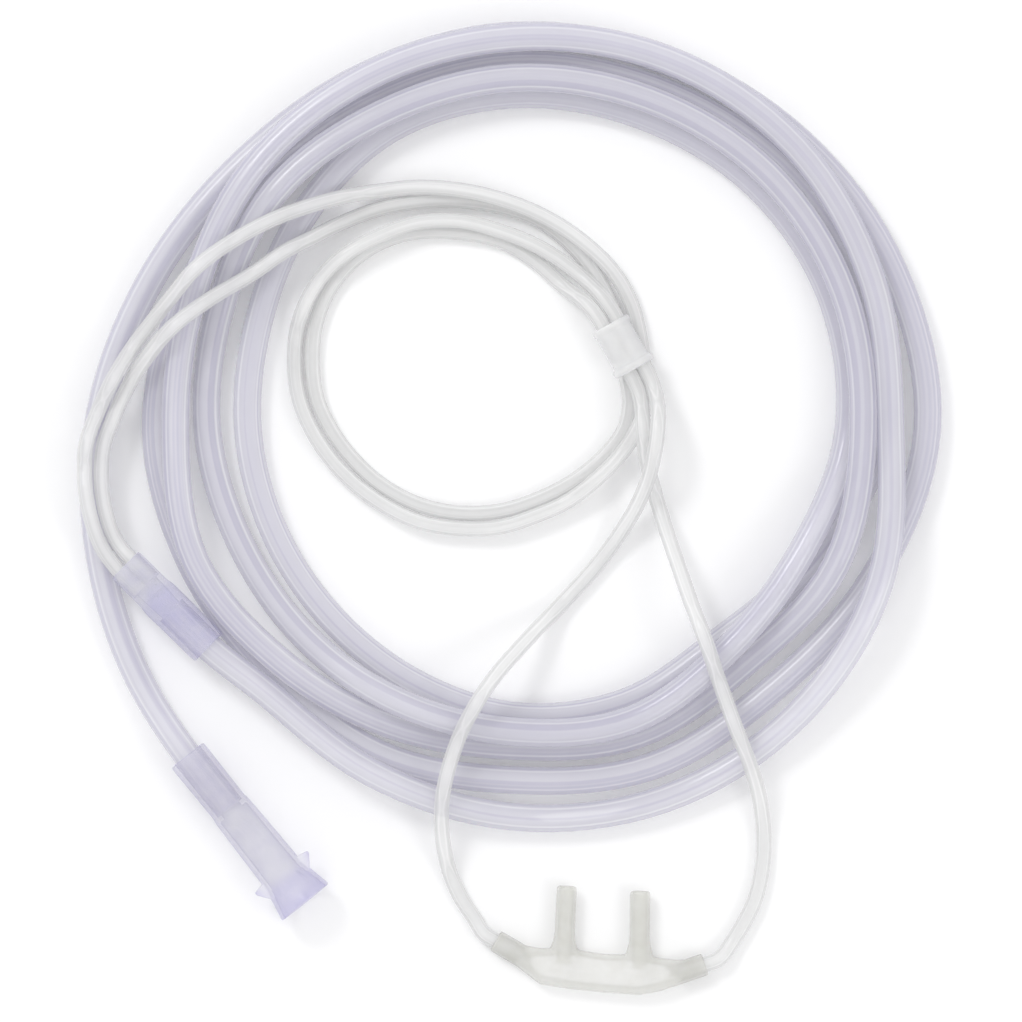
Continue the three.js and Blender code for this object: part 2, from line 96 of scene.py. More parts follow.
def smoothLine(points, perStep):
    # one smooth line through the points, level at each crest and hollow
    spots = [Vector(p) * mm for p in points]
    gaps = [(b - a).length for a, b in zip(spots, spots[1:])]
    ways = []
    for i, spot in enumerate(spots):
        if i == 0 or i == len(spots) - 1:
            a, b = (spots[0], spots[1]) if i == 0 else (spots[-2], spots[-1])
            ways.append((b - a).normalized())
            continue
        before, after = spot - spots[i - 1], spots[i + 1] - spot
        near, far = gaps[i - 1], gaps[i]
        way = before / near * far + after / far * near
        if before.z * after.z <= 1e-12:
            way.z = 0
        ways.append(way.normalized())
    line = []
    for i, gap in enumerate(gaps):
        reach = gap / 3
        stretch = interpolate_bezier(
            spots[i],
            spots[i] + ways[i] * reach,
            spots[i + 1] - ways[i + 1] * reach,
            spots[i + 1],
            perStep + 1,
        )
        line += stretch[:-1]
    return line + [spots[-1]]


def layTube(name, points, facts):
    # a curve with a round bevel, made a mesh
    line = smoothLine(points, facts["perStep"])
    curve = bpy.data.curves.new(name, "CURVE")
    curve.dimensions = "3D"
    curve.bevel_depth = facts["diameter"] * mm / 2
    curve.bevel_resolution = facts["roundness"]
    curve.use_fill_caps = True
    spline = curve.splines.new("POLY")
    spline.points.add(len(line) - 1)
    for place, spot in zip(spline.points, line):
        place.co = (*spot, 1)
    tube = bpy.data.objects.new(name, curve)
    bpy.context.collection.objects.link(tube)
    chosen(tube)
    bpy.ops.object.convert(target="MESH")
    tube = bpy.context.object
    smoothed(tube, 50)
    print(name, "laid,", len(tube.data.vertices), "points")
    return tube, [tuple(spot) for spot in line]


# Supply tube: five turns, each with its radius and height at 16 bearings, then the tail
supplyCoil = {
    "diameter": 5.7,
    "roundness": 8,
    "perStep": 8,
    "centre": (-17.6, 102.3),
    "firstBearing": 225,
    "bearingStep": 22.5,
    "fromY": [(-85.5, 66.1, 7.5), (-78.1, 58.9, 7.5)],
    "radii": [
        [72, 73.9, 77.4, 79.9, 80.6, 79.4, 75.5, 77.8, 80, 80.1, 78.2, 76, 73.2, 69, 67.2, 68.4],
        [65.4, 63.8, 63.3, 66, 66, 70, 70, 71.6, 72.2, 71.4, 70.2, 68.2, 67, 63.2, 61, 58.9],
        [58.5, 58.8, 60.2, 62.6, 61.4, 62.8, 67.4, 69.3, 69.4, 68.2, 67.2, 65, 59.8, 55.1, 52.9, 51.8],
        [52.1, 54.1, 57.2, 59.1, 59.4, 66, 74.2, 75.6, 75.5, 74.2, 73.1, 70.9, 70, 70.6, 71.4, 69.6],
        [68.4, 70.1, 70.1, 72.9, 73.6, 78.2, 83.2, 82.9, 81.6, 80.2, 79, 76.8, 75.9, 78.4, 83.1, 87.5],
    ],
    "heights": [
        [7.4, 7.6, 3.1, 2.9, 5.3, 9, 8.5, 8.5, 8.5, 8.7, 9.1, 9.1, 9.1, 8.5, 7.6, 8.6],
        [9.1, 3.9, 2.9, 2.9, 2.9, 9.1, 9.4, 8.2, 8.5, 7.9, 8.6, 8, 8.3, 3.4, 2.9, 2.9],
        [4.5, 9.2, 7.8, 8.1, 8.8, 8.5, 3.5, 2.9, 2.9, 2.9, 3.3, 3.2, 2.9, 2.9, 2.9, 2.9],
        [2.9] * 16,
        [2.9] * 10 + [3.1, 3.4, 3.1, 2.9, 2.9, 2.9],
    ],
    "toEnd": [(-92.3, 52.4, 2.9), (-82.5, 37.3, 6), (-74.2, 26.9, 6)],
}


def supplyPoints(coil):
    points = list(coil["fromY"])
    bearing = coil["firstBearing"]
    for radii, heights in zip(coil["radii"], coil["heights"]):
        for radius, height in zip(radii, heights):
            turn = math.radians(bearing)
            x = coil["centre"][0] + radius * math.cos(turn)
            y = coil["centre"][1] + radius * math.sin(turn)
            points.append((x, y, height))
            bearing += coil["bearingStep"]
    return points + coil["toEnd"]


# Over-ear tubes, each from the Y connector, once round the small ring, to the nasal piece
lariats = {
    "diameter": 3.1,
    "roundness": 5,
    "perStep": 4,
    "left": [
        (-91.9, 70.1, 7.5), (-96.0, 74.1, 7.5), (-99.2, 78.3, 8.1), (-101.4, 84.1, 9.6),
        (-102.6, 89.9, 9.7), (-102.9, 94.7, 8.5), (-102.5, 99.3, 10.2), (-100.2, 106.1, 7.8),
        (-97.2, 112.1, 11.1), (-93.6, 118.3, 8.6), (-89.2, 124.1, 9.0), (-85.0, 129.1, 12.3),
        (-80.4, 134.3, 15.8), (-73.4, 139.7, 12.6), (-65.8, 143.9, 11.6), (-59.4, 146.5, 9.2),
        (-52.0, 148.7, 6.7), (-44.0, 150.2, 2.7), (-36.0, 150.9, 3.6), (-28.0, 150.3, 4.7),
        (-20.0, 148.5, 5.0), (-11.8, 145.3, 4.9), (-3.4, 139.9, 5.6), (3.8, 132.5, 2.5),
        (6.8, 126.3, 1.6), (7.9, 121.7, 1.6), (9.0, 113.1, 1.6), (9.2, 107.9, 3.0),
        (7.4, 102.3, 4.3), (4.2, 97.5, 4.1), (-0.4, 92.7, 4.4), (-7.8, 87.3, 3.4),
        (-12.0, 85.5, 3.4), (-20.0, 82.9, 3.4), (-28.0, 82.6, 3.1), (-36.0, 83.9, 3.6),
        (-44.8, 88.3, 3.0), (-51.6, 93.9, 2.7), (-56.8, 100.7, 3.1), (-60.2, 108.3, 2.5),
        (-61.2, 115.3, 1.6), (-60.7, 122.3, 2.0), (-59.3, 126.7, 3.9), (-56.2, 132.3, 3.8),
        (-51.4, 137.1, 4.9), (-44.2, 141.1, 5.0), (-36.0, 143.9, 4.5), (-28.0, 144.1, 4.3),
        (-20.0, 142.1, 4.6), (-11.4, 138.5, 4.1), (-4.8, 134.0, 3.4), (1.4, 127.8, 6.4),
        (5.9, 119.8, 6.4), (10.4, 111.8, 6.4), (11.4, 102.3, 11.9), (10.8, 97.9, 11.3),
        (9.8, 93.3, 9.2), (7.9, 88.3, 6.5), (4.5, 82.3, 3.1), (0.2, 76.3, 1.6), (-6.9, 68.3, 1.6),
        (-14.7, 60.3, 6.9), (-21.7, 52.3, 12.2), (-25.0, 47.3, 15.2), (-28.6, 39.9, 11.2),
        (-30.8, 32.7, 11.7), (-31.7, 25.3, 8.0), (-31.3, 19.3, 5.0), (-29.6, 12.3, 1.6),
        (-27.7, 8.3, 1.6), (-25.2, 4.5, 1.6), (-23.1, 1.3, 2.5), (-20.9, 0.0, 2.5),
        (-16.0, -2.9, 2.5),
    ],
    "right": [
        (-89.6, 72.5, 7.5), (-93.6, 76.5, 7.5), (-96.4, 79.7, 6.6), (-98.4, 84.7, 7.8),
        (-99.4, 89.9, 7.8), (-99.6, 94.7, 7.6), (-99.1, 99.3, 7.4), (-97.5, 103.9, 7.1),
        (-93.8, 111.7, 7.6), (-90.0, 117.1, 10.9), (-85.0, 122.7, 14.6), (-77.4, 128.5, 11.9),
        (-69.0, 133.7, 8.5), (-63.2, 137.7, 9.0), (-57.6, 140.7, 5.9), (-52.0, 143.7, 2.7),
        (-44.0, 146.7, 1.6), (-36.0, 148.1, 1.6), (-28.0, 148.3, 1.6), (-20.0, 147.1, 1.6),
        (-12.2, 144.4, 1.6), (-4.8, 138.5, 1.6), (-0.2, 132.3, 1.6), (2.7, 126.3, 1.6),
        (4.1, 121.7, 1.6), (5.3, 113.1, 1.6), (6.0, 107.9, 1.6), (5.0, 102.7, 1.6),
        (1.4, 97.7, 1.6), (-3.8, 93.1, 1.6), (-11.8, 88.7, 1.6), (-20.0, 86.1, 1.6),
        (-28.0, 85.7, 1.6), (-36.0, 87.3, 1.6), (-43.4, 91.1, 1.6), (-50.0, 97.1, 1.6),
        (-53.8, 102.3, 1.6), (-56.6, 108.3, 1.6), (-57.6, 115.3, 1.6), (-57.2, 122.3, 1.6),
        (-56.0, 126.7, 1.6), (-53.2, 132.1, 1.6), (-49.2, 136.5, 1.6), (-43.6, 140.1, 1.6),
        (-36.0, 142.1, 1.6), (-28.0, 141.9, 1.6), (-20.0, 140.3, 1.6), (-13.0, 136.3, 1.6),
        (-7.8, 131.6, 2.2), (-1.4, 126.2, 6.4), (3.1, 118.2, 6.4), (7.6, 110.2, 6.4),
        (8.6, 102.3, 9.8), (9.0, 97.9, 7.6), (10.0, 93.3, 5.3), (11.4, 88.3, 2.7),
        (13.2, 82.3, 4.9), (15.2, 76.3, 8.1), (18.0, 67.9, 12.5), (20.6, 60.9, 16.2),
        (23.6, 52.3, 11.8), (27.2, 42.3, 11.6), (30.2, 34.7, 7.6), (32.2, 27.3, 3.8),
        (32.9, 19.3, 1.6), (32.2, 12.3, 1.6), (31.0, 7.9, 1.6), (29.2, 4.1, 1.6),
        (26.8, 0.1, 1.6), (23.5, -3.9, 2.5), (21.1, -4.7, 2.5), (15.7, -6.6, 2.5),
    ],
}

supplyTube, supplyLine = layTube("supply_tubing", supplyPoints(supplyCoil), supplyCoil)
leftLariat, leftLine = layTube("left_over_ear_tube", lariats["left"][::-1], lariats)
rightLariat, rightLine = layTube("right_over_ear_tube", lariats["right"][::-1], lariats)


def turned(name, rings, sides=48):
    # a ring drawn out along +Y through (y, half width, half height) and closed on itself
    bpy.ops.object.select_all(action="DESELECT")
    first = rings[0]
    bpy.ops.mesh.primitive_circle_add(
        vertices=sides, radius=1, location=(0, 0, 0), rotation=(math.pi / 2, 0, 0)
    )
    piece = bpy.context.object
    piece.name = name
    bpy.ops.object.transform_apply(location=False, rotation=True, scale=False)
    bpy.ops.object.mode_set(mode="EDIT")
    bpy.ops.mesh.select_all(action="SELECT")
    bpy.ops.transform.resize(
        value=(first[1] * mm, 1, first[2] * mm), center_override=(0, 0, 0)
    )
    bpy.ops.transform.translate(value=(0, first[0] * mm, 0))
    last = first
    for ring in rings[1:] + [first]:
        bpy.ops.mesh.extrude_region_move(
            TRANSFORM_OT_translate={"value": (0, (ring[0] - last[0]) * mm, 0)}
        )
        bpy.ops.transform.resize(
            value=(ring[1] / last[1], 1, ring[2] / last[2]),
            center_override=(0, ring[0] * mm, 0),
        )
        last = ring
    bpy.ops.mesh.select_all(action="SELECT")
    bpy.ops.mesh.remove_doubles(threshold=1e-6)
    bpy.ops.mesh.normals_make_consistent(inside=False)
    bpy.ops.object.mode_set(mode="OBJECT")
    return piece


def rod(name, radius, length, sides=32):
    # a capped rod along +Y from the origin
    bpy.ops.object.select_all(action="DESELECT")
    bpy.ops.mesh.primitive_cylinder_add(
        vertices=sides,
        radius=radius * mm,
        depth=length * mm,
        location=(0, length * mm / 2, 0),
        rotation=(math.pi / 2, 0, 0),
    )
    piece = bpy.context.object
    piece.name = name
    settlePlace(piece)
    return piece


def putAt(obj, start, heading):
    # from lying along +Y at the origin to its place and heading on the surface
    obj.location = Vector(start) * mm
    obj.rotation_euler = (0, 0, math.radians(heading - 90))
    settlePlace(obj)


def cutBy(obj, cutter, operation="DIFFERENCE"):
    applied(obj, "BOOLEAN", operation=operation, solver="EXACT", object=cutter)
    bpy.data.objects.remove(cutter)


def joined(pieces):
    bpy.ops.object.select_all(action="DESELECT")
    for piece in pieces:
        piece.select_set(True)
    bpy.context.view_layer.objects.active = pieces[0]
    bpy.ops.object.join()
    return bpy.context.object


# End connector: soft sleeve over the tube, a waist, two lugs and a flared mouth
endFitting = {
    "start": (-82.5, 37.3, 6.05),
    "heading": -51.2,
    "rings": [
        (0, 3.2, 3.2), (0, 3.75, 3.75), (0.15, 4.0, 4.0), (0.5, 4.12, 4.12), (1.2, 4.12, 4.12),
        (6, 4.05, 4.05), (12.6, 3.97, 3.97), (13.3, 3.98, 3.98), (13.8, 4.12, 4.12),
        (14.6, 4.18, 4.18), (20, 4.35, 4.35), (26, 4.5, 4.5), (29, 4.56, 4.56),
        (30.6, 4.62, 4.62), (31.4, 4.74, 4.74), (34, 5.24, 5.24), (36.4, 5.72, 5.72),
        (37.0, 5.88, 5.88), (37.45, 5.92, 5.92), (37.7, 5.75, 5.75), (37.7, 5.5, 5.5),
        (37.5, 5.3, 5.3), (34.4, 4.6, 4.6), (31.9, 4.1, 4.1), (31.5, 3.65, 3.65), (24, 3.5, 3.5),
        (15, 3.4, 3.4), (14.6, 3.2, 3.2), (14.6, 2.3, 2.3), (13.6, 2.2, 2.2), (13.6, 3.1, 3.1),
        (7, 3.14, 3.14),
    ],
    "lug": {"at": 31.2, "root": 4.3, "tip": 6.7, "length": 3.6, "thickness": 3.2,
            "stub": 1.0, "overlap": 0.1, "sweep": 0.9, "pointLength": 0.16, "pointThickness": 0.5,
            "round": 0.14},
    "fin": {"count": 4, "firstTurn": 45, "from": 31.6, "to": 36.9, "depth": 1.1, "thickness": 0.45,
            "mouthReach": 5.35, "throatReach": 4.2, "taper": 0.66},
}


def lug(name, facts, hand):
    # a cube drawn out sideways into a thin rounded fin
    bpy.ops.object.select_all(action="DESELECT")
    bpy.ops.mesh.primitive_cube_add(
        size=1, location=(hand * facts["root"] * mm, (facts["at"] + facts["overlap"]) * mm, 0)
    )
    piece = bpy.context.object
    piece.name = name
    piece.scale = (facts["stub"] * mm, facts["length"] * mm, facts["thickness"] * mm)
    settlePlace(piece)
    bpy.ops.object.mode_set(mode="EDIT")
    bpy.ops.mesh.select_all(action="DESELECT")
    bpy.ops.object.mode_set(mode="OBJECT")
    for face in piece.data.polygons:
        face.select = face.normal.x * hand > 0.9
    bpy.ops.object.mode_set(mode="EDIT")
    outward = facts["tip"] - facts["root"] - facts["stub"] / 2
    bpy.ops.mesh.extrude_region_move(
        TRANSFORM_OT_translate={"value": (hand * outward * mm, -facts["sweep"] * mm, 0)}
    )
    bpy.ops.transform.resize(
        value=(1, facts["pointLength"], facts["pointThickness"]),
        center_override=(hand * facts["tip"] * mm, (facts["at"] - facts["sweep"] - facts["overlap"]) * mm, 0),
    )
    bpy.ops.mesh.select_all(action="SELECT")
    bpy.ops.mesh.normals_make_consistent(inside=False)
    bpy.ops.object.mode_set(mode="OBJECT")
    applied(piece, "BEVEL", width=facts["round"] * mm, segments=3, limit_method="ANGLE")
    return piece


def fin(facts, turn):
    # a thin wedge inside the mouth that grips the nozzle, deepest at the throat
    bpy.ops.object.select_all(action="DESELECT")
    length = facts["to"] - facts["from"]
    bpy.ops.mesh.primitive_cube_add(size=1, location=(0, (facts["from"] + length / 2) * mm, 0))
    piece = bpy.context.object
    piece.scale = (facts["thickness"] * mm, length * mm, facts["depth"] * mm)
    settlePlace(piece)
    for corner in piece.data.vertices:
        far = corner.co.y > (facts["from"] + length / 2) * mm
        low = corner.co.z < 0
        corner.co.z += (facts["mouthReach"] if far else facts["throatReach"]) * mm
        if far and low:
            corner.co.z += facts["taper"] * mm
    piece.rotation_euler = (0, math.radians(turn), 0)
    settlePlace(piece)
    return piece


def makeEndFitting(facts):
    body = turned("end_fitting", facts["rings"], 64)
    for hand in (-1, 1):
        cutBy(body, lug("lug", facts["lug"], hand), "UNION")
    for index in range(facts["fin"]["count"]):
        turn = facts["fin"]["firstTurn"] + index * 360 / facts["fin"]["count"]
        cutBy(body, fin(facts["fin"], turn), "UNION")
    putAt(body, facts["start"], facts["heading"])
    smoothed(body, 35)
    print("end connector shaped")
    return body


# Y connector: an oval socket for the two thin tubes that grows into a round one
yFitting = {
    "start": (-94.8, 75.3, 7.5),
    "heading": -44.5,
    "rings": [
        (0, 3.5, 1.95), (0, 3.6, 2.05), (0.1, 3.72, 2.16), (0.4, 3.8, 2.22), (4, 3.8, 2.22),
        (7.6, 3.8, 2.3), (8.3, 3.85, 2.5), (8.8, 3.98, 3.2), (9.3, 4.05, 3.8), (10, 4.1, 4.1),
        (15, 4.07, 4.07), (22.6, 4.02, 4.02), (23.1, 3.95, 3.95), (23.4, 3.7, 3.7),
        (23.4, 3.25, 3.25), (23.2, 3.15, 3.15), (12.8, 3.13, 3.13), (12.8, 2.4, 1.2),
        (10.4, 2.5, 1.0), (6, 2.7, 1.0), (6, 3.45, 1.9),
    ],
}


def makeYFitting(facts):
    body = turned("y_fitting", facts["rings"], 64)
    putAt(body, facts["start"], facts["heading"])
    smoothed(body, 35)
    print("Y connector shaped")
    return body


# Slider: an oval sleeve round both thin tubes with a rolled rim and a small thumb nub
sliderSleeve = {
    "middle": (4.5, 119.0, 6.4),
    "heading": -60.7,
    "rings": [
        (-5.2, 3.5, 1.9), (-5.2, 3.8, 2.2), (-5.12, 4.0, 2.42), (-4.85, 4.12, 2.55),
        (-4.5, 4.16, 2.58), (-4.1, 4.08, 2.5), (-3.8, 3.88, 2.3), (-3.4, 3.8, 2.2),
        (3.1, 3.8, 2.2), (3.4, 3.88, 2.3), (3.65, 4.15, 2.6), (3.95, 4.42, 2.82),
        (4.4, 4.5, 2.9), (4.85, 4.42, 2.82), (5.1, 4.2, 2.6), (5.2, 3.9, 2.3), (5.2, 3.5, 1.9),
        (0, 3.48, 1.88),
    ],
}


def makeSlider(facts):
    body = turned("slider_sleeve", facts["rings"], 64)
    putAt(body, facts["middle"], facts["heading"])
    smoothed(body, 35)
    print("slider shaped")
    return body


# Nasal piece: soft body with a flat back, a sleeve at each end and two prongs
nasal = {
    "axisHeight": 2.5,
    "left": {"start": (-20.9, 0.0, 2.5), "heading": -30.5},
    "right": {"start": (21.1, -4.7, 2.5), "heading": 199},
    "sleeve": {"radius": 2.3, "bore": 1.8, "depth": 6},
    "body": [
        (-17.5, -2.2, 1.9, 1.9), (-16, -3.2, 2.5, 2.2), (-12, -5.1, 3.7, 2.9), (-6, -5.6, 4.1, 3.2),
        (0.6, -6.5, 3.9, 3.2), (8, -6.8, 4.1, 3.2), (12, -6.8, 3.4, 2.9), (16, -6.3, 2.5, 2.2),
        (18, -5.7, 1.9, 1.9),
    ],
    "prongs": [
        {"start": (-7.3, -4.5, 2.9), "tip": (-6.6, 11.0)},
        {"start": (7.9, -5.5, 2.9), "tip": (8.1, 10.0)},
    ],
    "prongRadius": 2.05,
    "prongBore": 1.45,
    "prongFoot": [
        (0, 2.6, 2.4), (1.5, 2.8, 2.4), (2.8, 2.75, 2.4), (3.6, 2.6, 2.35), (4.4, 2.3, 2.2),
        (5.2, 2.15, 2.15),
    ],
    "prongTipRound": 0.3,
    "middle": 0.05,
    "overlap": 1.5,
    "boreLead": 2,
    "voxel": 0.24,
    "smoothing": 12,
    "restHeight": 0.02,
}


def bodyShell(facts):
    # a ring drawn out along +X through the body's sections, capped and cut flat underneath
    bpy.ops.object.select_all(action="DESELECT")
    bpy.ops.mesh.primitive_circle_add(vertices=40, radius=1, rotation=(0, math.pi / 2, 0))
    shell = bpy.context.object
    shell.name = "nasal_body"
    bpy.ops.object.transform_apply(location=False, rotation=True, scale=False)
    bpy.ops.object.mode_set(mode="EDIT")
    bpy.ops.mesh.select_all(action="SELECT")
    x, y, wide, tall = facts["body"][0]
    bpy.ops.transform.resize(value=(1, wide * mm, tall * mm), center_override=(0, 0, 0))
    bpy.ops.transform.translate(value=(x * mm, y * mm, facts["axisHeight"] * mm))
    bpy.ops.mesh.edge_face_add()
    for nextX, nextY, nextWide, nextTall in facts["body"][1:]:
        bpy.ops.mesh.extrude_region_move(
            TRANSFORM_OT_translate={"value": ((nextX - x) * mm, (nextY - y) * mm, 0)}
        )
        bpy.ops.transform.resize(
            value=(1, nextWide / wide, nextTall / tall),
            center_override=(nextX * mm, nextY * mm, facts["axisHeight"] * mm),
        )
        x, y, wide, tall = nextX, nextY, nextWide, nextTall
    bpy.ops.mesh.select_all(action="SELECT")
    bpy.ops.mesh.normals_make_consistent(inside=False)
    bpy.ops.object.mode_set(mode="OBJECT")
    return shell


def prongForm(name, facts, prong):
    start, tip = Vector(prong["start"]), Vector(prong["tip"])
    length = (tip - Vector(start[:2])).length
    radius = facts["prongRadius"]
    tipRound, middle = facts["prongTipRound"], facts["middle"]
    rings = [
        (0, middle, middle), *facts["prongFoot"], (6.5, radius, radius),
        (length - 0.5, radius, radius), (length - tipRound / 2, radius - 0.12, radius - 0.12),
        (length, radius - tipRound, radius - tipRound), (length, middle, middle),
    ]
    form = turned(name, rings, 40)
    putAt(form, start, math.degrees(math.atan2(tip.y - start.y, tip.x - start.x)))
    return form


def makeNasalPiece(facts):
    parts = [bodyShell(facts)]
    for end in (facts["left"], facts["right"]):
        sleeve = rod("sleeve", facts["sleeve"]["radius"], facts["sleeve"]["depth"] + facts["overlap"])
        putAt(sleeve, end["start"], end["heading"])
        parts.append(sleeve)
    for index, prong in enumerate(facts["prongs"]):
        parts.append(prongForm("prong%d" % index, facts, prong))
    piece = joined(parts)
    piece.name = "nasal_cannula_piece"
    applied(piece, "REMESH", mode="VOXEL", voxel_size=facts["voxel"] * mm)
    applied(piece, "SMOOTH", factor=0.5, iterations=facts["smoothing"])
    for end in (facts["left"], facts["right"]):
        bore = rod("bore", facts["sleeve"]["bore"], facts["sleeve"]["depth"] + facts["boreLead"])
        bore.location = (0, -facts["boreLead"] * mm, 0)
        settlePlace(bore)
        putAt(bore, end["start"], end["heading"])
        cutBy(piece, bore)
    for prong in facts["prongs"]:
        start, tip = Vector(prong["start"]), Vector(prong["tip"])
        length = (tip - Vector(start[:2])).length
        bore = rod("bore", facts["prongBore"], length + 1)
        putAt(bore, start, math.degrees(math.atan2(tip.y - start.y, tip.x - start.x)))
        cutBy(piece, bore)
    # the back is cut flat where it rests on the lip, and lies on the surface here
    chosen(piece)
    bpy.ops.object.mode_set(mode="EDIT")
    bpy.ops.mesh.select_all(action="SELECT")
    bpy.ops.mesh.bisect(
        plane_co=(0, 0, facts["restHeight"] * mm), plane_no=(0, 0, 1), use_fill=True, clear_inner=True
    )
    bpy.ops.mesh.select_all(action="SELECT")
    bpy.ops.mesh.remove_doubles(threshold=0.002 * mm)
    bpy.ops.mesh.dissolve_degenerate(threshold=0.001 * mm)
    bpy.ops.mesh.quads_convert_to_tris()
    bpy.ops.object.mode_set(mode="OBJECT")
    piece.data.validate()
    smoothed(piece, 40)
    print("nasal piece shaped,", len(piece.data.vertices), "points")
    return piece


endPiece = makeEndFitting(endFitting)
yPiece = makeYFitting(yFitting)
sliderPiece = makeSlider(sliderSleeve)
nasalPiece = makeNasalPiece(nasal)


# Shared surface effects, each a group that gives a mask or a value
def effect(name, inputs, outputs):
    group = bpy.data.node_groups.new(name, "ShaderNodeTree")
    for label, kind, value in inputs:
        socket = group.interface.new_socket(label, in_out="INPUT", socket_type=kind)
        if value is not None:
            socket.default_value = value
    for label, kind in outputs:
        group.interface.new_socket(label, in_out="OUTPUT", socket_type=kind)
    start = group.nodes.new("NodeGroupInput")
    end = group.nodes.new("NodeGroupOutput")
    return group, start, end


def paintStreakShade():
    # faint long painted streaks of shade along the tube, from its own map, standing in for the lengthwise
    # light and shade lines the bore makes
    group, start, end = effect(
        "paintedStreakShade",
        [("Map", "NodeSocketVector", None), ("Count", "NodeSocketFloat", 9.0)],
        [("Mask", "NodeSocketFloat")],
    )
    link = group.links.new
    parts = group.nodes.new("ShaderNodeSeparateXYZ")
    around = group.nodes.new("ShaderNodeMath")
    around.operation = "MULTIPLY"
    along = group.nodes.new("ShaderNodeMath")
    along.operation = "MULTIPLY"
    along.inputs[1].default_value = 3.0
    spot = group.nodes.new("ShaderNodeCombineXYZ")
    grain = group.nodes.new("ShaderNodeTexNoise")
    grain.inputs["Scale"].default_value = 1.0
    grain.inputs["Detail"].default_value = 1.0
    link(start.outputs["Map"], parts.inputs[0])
    link(parts.outputs["Y"], around.inputs[0])
    link(start.outputs["Count"], around.inputs[1])
    link(parts.outputs["X"], along.inputs[0])
    link(along.outputs[0], spot.inputs["X"])
    link(around.outputs[0], spot.inputs["Y"])
    link(spot.outputs[0], grain.inputs["Vector"])
    link(grain.outputs["Fac"], end.inputs["Mask"])
    return group


def drawHaze():
    # soft cloudiness inside moulded vinyl, and a fine grain on its skin
    group, start, end = effect(
        "vinylHaze",
        [("Cloud size", "NodeSocketFloat", 260.0), ("Grain size", "NodeSocketFloat", 2600.0)],
        [("Cloud", "NodeSocketFloat"), ("Grain", "NodeSocketFloat")],
    )
    link = group.links.new
    place = group.nodes.new("ShaderNodeTexCoord")
    cloud = group.nodes.new("ShaderNodeTexNoise")
    cloud.inputs["Detail"].default_value = 2.0
    grain = group.nodes.new("ShaderNodeTexNoise")
    grain.inputs["Detail"].default_value = 1.0
    link(place.outputs["Object"], cloud.inputs["Vector"])
    link(place.outputs["Object"], grain.inputs["Vector"])
    link(start.outputs["Cloud size"], cloud.inputs["Scale"])
    link(start.outputs["Grain size"], grain.inputs["Scale"])
    link(cloud.outputs["Fac"], end.inputs["Cloud"])
    link(grain.outputs["Fac"], end.inputs["Grain"])
    return group


streaks = paintStreakShade()
haze = drawHaze()


def ramp(nodes, stops):
    node = nodes.new("ShaderNodeValToRGB")
    elements = node.color_ramp.elements
    for element, (place, color) in zip(elements, (stops[0], stops[-1])):
        element.position = place
        element.color = (*color, 1)
    for place, color in stops[1:-1]:
        elements.new(place).color = (*color, 1)
    return node


def mixed(material, kind, factor, a, b):
    # a colour mix node; a factor or colour may be a socket or a fixed value
    nodes, link = material.node_tree.nodes, material.node_tree.links.new
    node = nodes.new("ShaderNodeMix")
    node.data_type = "RGBA"
    node.blend_type = kind
    node.clamp_result = True
    for socket, value in ((node.inputs[0], factor), (node.inputs[6], a), (node.inputs[7], b)):
        if isinstance(value, bpy.types.NodeSocket):
            link(value, socket)
        elif isinstance(value, tuple):
            socket.default_value = (*value, 1)
        else:
            socket.default_value = value
    return node.outputs[2]


